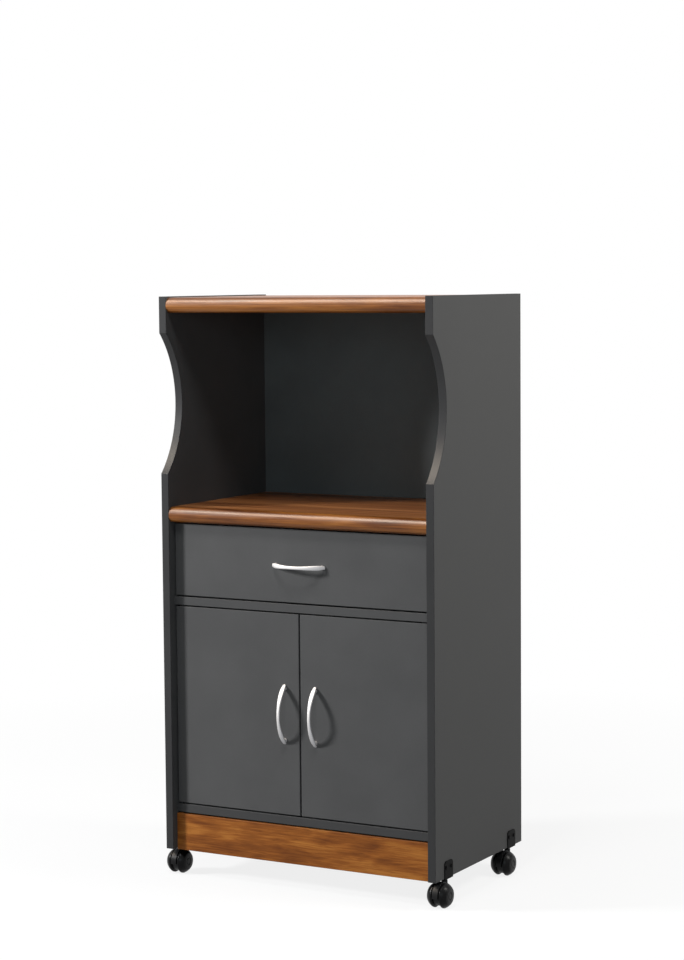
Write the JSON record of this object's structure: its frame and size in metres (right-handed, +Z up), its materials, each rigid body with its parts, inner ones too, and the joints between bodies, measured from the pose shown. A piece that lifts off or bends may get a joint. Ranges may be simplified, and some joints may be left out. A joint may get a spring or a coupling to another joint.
{
  "type": "microwave cart",
  "caption": "Upright kitchen cart with an open bay for a microwave above a drawer and a two-door cupboard, curved side panels and bullnose shelves, on twin-wheel casters.",
  "frame": {"origin": "on the floor, in the middle of the box round the whole cart: midway between the side panels, and midway between the handles' foremost point and the side panels' rear edges", "axes": "+Z up, -Y towards the front where the drawer and the doors open, +X to the right seen from the front"},
  "size_m": [0.626, 0.39, 1.15],
  "materials": {
    "charcoal_laminate": "matte charcoal laminate on particle board",
    "cherry_laminate": "satin cherry wood grain, grain along the width",
    "dark_hardboard": "dark painted hardboard",
    "drawer_board": "pale laminate on particle board",
    "beech": "raw beech",
    "satin_silver": "satin silver",
    "zinc_steel": "zinc plated",
    "nylon": "natural nylon",
    "black_plastic": "black moulded plastic",
    "black_wheel": "black moulded plastic, slightly glossy",
    "black_steel": "black painted sheet steel"
  },
  "bodies": {
    "cart": {"side_panel_left": "charcoal_laminate", "side_panel_right": "charcoal_laminate", "top_board": "cherry_laminate", "top_nosing": "cherry_laminate", "shelf_board": "cherry_laminate", "shelf_nosing": "cherry_laminate", "divider_board": "charcoal_laminate", "bottom_board": "charcoal_laminate", "toe_kick": "cherry_laminate", "back_panel": "dark_hardboard", "cam_locks": "zinc_steel", "cam_bolts": "zinc_steel", "dowels": "beech", "wood_screws": "zinc_steel", "runner_left": "zinc_steel", "runner_right": "zinc_steel", "pivot_bushes": "black_plastic", "catches": "black_plastic", "caster_brackets": "black_steel", "bracket_screws": "black_steel", "caster_sockets": "zinc_steel"},
    "drawer": {"drawer_front": "charcoal_laminate", "drawer_side_left": "drawer_board", "drawer_side_right": "drawer_board", "drawer_back": "drawer_board", "drawer_bottom": "drawer_board", "drawer_dowels": "beech", "slide_left": "zinc_steel", "slide_right": "zinc_steel", "slide_screws": "zinc_steel", "drawer_handle": "satin_silver", "drawer_handle_screws": "zinc_steel"},
    "front_rollers": {"front_rollers": "nylon"},
    "rear_rollers": {"rear_rollers": "nylon"},
    "door_left": {"door_left": "charcoal_laminate", "door_handle_left": "satin_silver", "door_screws_left": "zinc_steel", "pivot_pins_left": "zinc_steel", "strike_left": "zinc_steel"},
    "door_right": {"door_right": "charcoal_laminate", "door_handle_right": "satin_silver", "door_screws_right": "zinc_steel", "pivot_pins_right": "zinc_steel", "strike_right": "zinc_steel"},
    "caster_front_left": {"fork_front_left": "black_plastic", "stem_front_left": "zinc_steel"},
    "wheel_front_left_inner": {"wheel_front_left_inner": "black_wheel"},
    "wheel_front_left_outer": {"wheel_front_left_outer": "black_wheel"},
    "caster_front_right": {"fork_front_right": "black_plastic", "stem_front_right": "zinc_steel"},
    "wheel_front_right_inner": {"wheel_front_right_inner": "black_wheel"},
    "wheel_front_right_outer": {"wheel_front_right_outer": "black_wheel"},
    "caster_back_left": {"fork_back_left": "black_plastic", "stem_back_left": "zinc_steel"},
    "wheel_back_left_inner": {"wheel_back_left_inner": "black_wheel"},
    "wheel_back_left_outer": {"wheel_back_left_outer": "black_wheel"},
    "caster_back_right": {"fork_back_right": "black_plastic", "stem_back_right": "zinc_steel"},
    "wheel_back_right_inner": {"wheel_back_right_inner": "black_wheel"},
    "wheel_back_right_outer": {"wheel_back_right_outer": "black_wheel"}
  },
  "joints": [
    {"name": "drawer_slide", "type": "slide", "parent": "cart", "child": "drawer", "axis": [0, -1, 0], "range_m": [0, 0.25]},
    {"name": "front_roller_spin", "type": "hinge", "parent": "cart", "child": "front_rollers", "pos_m": [0, -0.139, 0.5795], "axis": [1, 0, 0], "continuous": true},
    {"name": "rear_roller_spin", "type": "hinge", "parent": "drawer", "child": "rear_rollers", "pos_m": [0, 0.149, 0.576], "axis": [1, 0, 0], "continuous": true},
    {"name": "door_left_pivot", "type": "hinge", "parent": "cart", "child": "door_left", "pos_m": [-0.26883, -0.159, 0.344], "axis": [0, 0, -1], "range_deg": [0, 100]},
    {"name": "door_right_pivot", "type": "hinge", "parent": "cart", "child": "door_right", "pos_m": [0.26883, -0.159, 0.344], "axis": [0, 0, 1], "range_deg": [0, 100]},
    {"name": "caster_front_left_swivel", "type": "hinge", "parent": "cart", "child": "caster_front_left", "pos_m": [-0.292, -0.132, 0.072], "axis": [0, 0, 1], "continuous": true},
    {"name": "wheel_front_left_inner_spin", "type": "hinge", "parent": "caster_front_left", "child": "wheel_front_left_inner", "pos_m": [-0.292, -0.149, 0.024], "axis": [1, 0, 0], "continuous": true},
    {"name": "wheel_front_left_outer_spin", "type": "hinge", "parent": "caster_front_left", "child": "wheel_front_left_outer", "pos_m": [-0.292, -0.149, 0.024], "axis": [1, 0, 0], "continuous": true},
    {"name": "caster_front_right_swivel", "type": "hinge", "parent": "cart", "child": "caster_front_right", "pos_m": [0.292, -0.132, 0.072], "axis": [0, 0, 1], "continuous": true},
    {"name": "wheel_front_right_inner_spin", "type": "hinge", "parent": "caster_front_right", "child": "wheel_front_right_inner", "pos_m": [0.292, -0.149, 0.024], "axis": [1, 0, 0], "continuous": true},
    {"name": "wheel_front_right_outer_spin", "type": "hinge", "parent": "caster_front_right", "child": "wheel_front_right_outer", "pos_m": [0.292, -0.149, 0.024], "axis": [1, 0, 0], "continuous": true},
    {"name": "caster_back_left_swivel", "type": "hinge", "parent": "cart", "child": "caster_back_left", "pos_m": [-0.292, 0.145, 0.072], "axis": [0, 0, 1], "continuous": true},
    {"name": "wheel_back_left_inner_spin", "type": "hinge", "parent": "caster_back_left", "child": "wheel_back_left_inner", "pos_m": [-0.292, 0.128, 0.024], "axis": [1, 0, 0], "continuous": true},
    {"name": "wheel_back_left_outer_spin", "type": "hinge", "parent": "caster_back_left", "child": "wheel_back_left_outer", "pos_m": [-0.292, 0.128, 0.024], "axis": [1, 0, 0], "continuous": true},
    {"name": "caster_back_right_swivel", "type": "hinge", "parent": "cart", "child": "caster_back_right", "pos_m": [0.292, 0.145, 0.072], "axis": [0, 0, 1], "continuous": true},
    {"name": "wheel_back_right_inner_spin", "type": "hinge", "parent": "caster_back_right", "child": "wheel_back_right_inner", "pos_m": [0.292, 0.128, 0.024], "axis": [1, 0, 0], "continuous": true},
    {"name": "wheel_back_right_outer_spin", "type": "hinge", "parent": "caster_back_right", "child": "wheel_back_right_outer", "pos_m": [0.292, 0.128, 0.024], "axis": [1, 0, 0], "continuous": true}
  ],
  "couplings": [
    {"joint": "front_roller_spin", "follows": "drawer_slide", "rad_per_m": 111.11},
    {"joint": "rear_roller_spin", "follows": "drawer_slide", "rad_per_m": 111.11}
  ]
}
